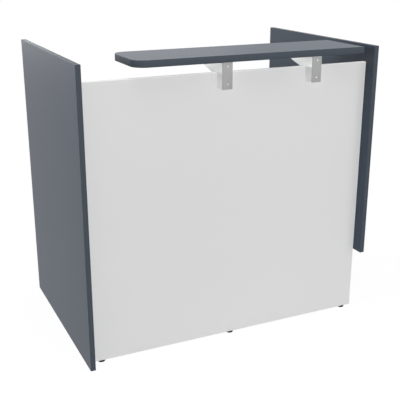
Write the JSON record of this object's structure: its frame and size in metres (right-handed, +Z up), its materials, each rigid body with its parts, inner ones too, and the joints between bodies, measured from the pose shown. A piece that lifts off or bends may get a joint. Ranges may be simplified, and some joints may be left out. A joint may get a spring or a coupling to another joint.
{
  "type": "reception desk",
  "caption": "Reception desk with a white front panel between slate side panels, a round-ended counter shelf floating on steel brackets, and a work surface behind.",
  "frame": {"origin": "on the floor, under the middle of the desk's outline", "axes": "+X to the right as a visitor sees it, +Y from the visitor's side to the user's side, +Z up"},
  "size_m": [1.2, 0.8, 1.12],
  "materials": {
    "slate_board": "satin melamine",
    "slate_edge": "satin edge strip",
    "white_board": "satin melamine",
    "white_edge": "satin edge strip",
    "grey_steel": "silver-grey powder coat",
    "zinc_steel": "bright zinc plate",
    "black_plastic": "moulded, fine texture",
    "nylon": "natural moulded nylon"
  },
  "bodies": {
    "desk": {"left_side_panel": "slate_board", "left_panel_front_edge": "slate_edge", "left_panel_rear_edge": "slate_edge", "left_panel_top_edge": "slate_edge", "right_side_panel": "slate_board", "right_panel_front_edge": "slate_edge", "right_panel_rear_edge": "slate_edge", "right_panel_top_edge": "slate_edge", "right_panel_bottom_edge": "slate_edge", "front_panel": "white_board", "front_panel_top_edge": "white_edge", "front_panel_right_edge": "white_edge", "counter_shelf": "slate_board", "counter_shelf_edge": "slate_edge", "counter_shelf_right_edge": "slate_edge", "work_surface": "slate_board", "work_surface_rear_edge": "slate_edge", "bracket_left_arm": "grey_steel", "bracket_left_plate": "grey_steel", "bracket_left_plate_bolt": "zinc_steel", "bracket_left_panel_screw": "zinc_steel", "bracket_left_shelf_screw_front": "zinc_steel", "bracket_left_shelf_screw_rear": "zinc_steel", "bracket_right_arm": "grey_steel", "bracket_right_plate": "grey_steel", "bracket_right_plate_bolt": "zinc_steel", "bracket_right_panel_screw": "zinc_steel", "bracket_right_shelf_screw_front": "zinc_steel", "bracket_right_shelf_screw_rear": "zinc_steel", "support_angle_left": "grey_steel", "angle_left_panel_screw_front": "zinc_steel", "angle_left_panel_screw_rear": "zinc_steel", "angle_left_surface_screw_front": "zinc_steel", "angle_left_surface_screw_rear": "zinc_steel", "support_angle_right": "grey_steel", "angle_right_panel_screw_front": "zinc_steel", "angle_right_panel_screw_rear": "zinc_steel", "angle_right_surface_screw_front": "zinc_steel", "angle_right_surface_screw_rear": "zinc_steel", "rear_leg": "grey_steel", "leg_screw_1": "zinc_steel", "leg_screw_2": "zinc_steel", "leg_screw_3": "zinc_steel", "leg_plug": "black_plastic", "cam_left_lower": "zinc_steel", "cam_left_upper": "zinc_steel", "cam_right_lower": "zinc_steel", "cam_right_upper": "zinc_steel", "cam_bolt_left_lower": "zinc_steel", "cam_bolt_left_upper": "zinc_steel", "cam_bolt_right_lower": "zinc_steel", "cam_bolt_right_upper": "zinc_steel", "foot_insert_left": "nylon", "foot_insert_middle": "nylon", "foot_insert_right": "nylon"},
    "foot_left": {"front_foot_left": "black_plastic"},
    "foot_middle": {"front_foot_middle": "black_plastic"},
    "foot_right": {"front_foot_right": "black_plastic"},
    "foot_rear": {"rear_foot": "black_plastic"}
  },
  "joints": [
    {"name": "foot_left_screw", "type": "slide", "parent": "desk", "child": "foot_left", "axis": [0, 0, -1], "range_m": [0, 0.01]},
    {"name": "foot_middle_screw", "type": "slide", "parent": "desk", "child": "foot_middle", "axis": [0, 0, -1], "range_m": [0, 0.01]},
    {"name": "foot_right_screw", "type": "slide", "parent": "desk", "child": "foot_right", "axis": [0, 0, -1], "range_m": [0, 0.01]},
    {"name": "foot_rear_screw", "type": "slide", "parent": "desk", "child": "foot_rear", "axis": [0, 0, -1], "range_m": [0, 0.015]}
  ]
}
